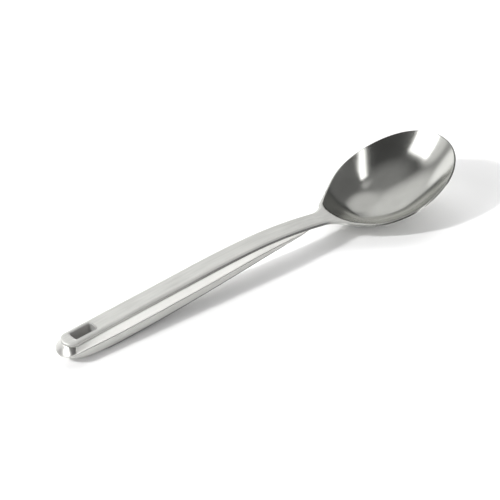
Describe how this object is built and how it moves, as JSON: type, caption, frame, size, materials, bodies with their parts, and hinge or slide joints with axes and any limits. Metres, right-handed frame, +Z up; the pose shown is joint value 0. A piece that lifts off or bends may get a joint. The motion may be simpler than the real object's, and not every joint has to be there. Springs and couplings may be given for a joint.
{
  "type": "cooking spoon",
  "caption": "All-steel cooking spoon with a wide oval bowl, a cranked flared neck and a hollow hull-shaped handle with a hanging slot near its butt.",
  "frame": {"origin": "on the surface that the spoon lies on, under the middle of its length and width", "axes": "+X from the butt to the tip of the bowl, +Y across, +Z up out of the bowl"},
  "size_m": [0.3196, 0.0772, 0.0374],
  "materials": {
    "satin_sheet": "satin, with a semi-polished bowl",
    "brushed_shell": "bright, brushed lengthwise",
    "sleeve_steel": "drawn",
    "braze_metal": "as brazed"
  },
  "bodies": {
    "root": {"spoon_body": "satin_sheet", "handle_shell": "brushed_shell", "slot_sleeve": "sleeve_steel", "seam_braze": "braze_metal"}
  },
  "joints": []
}
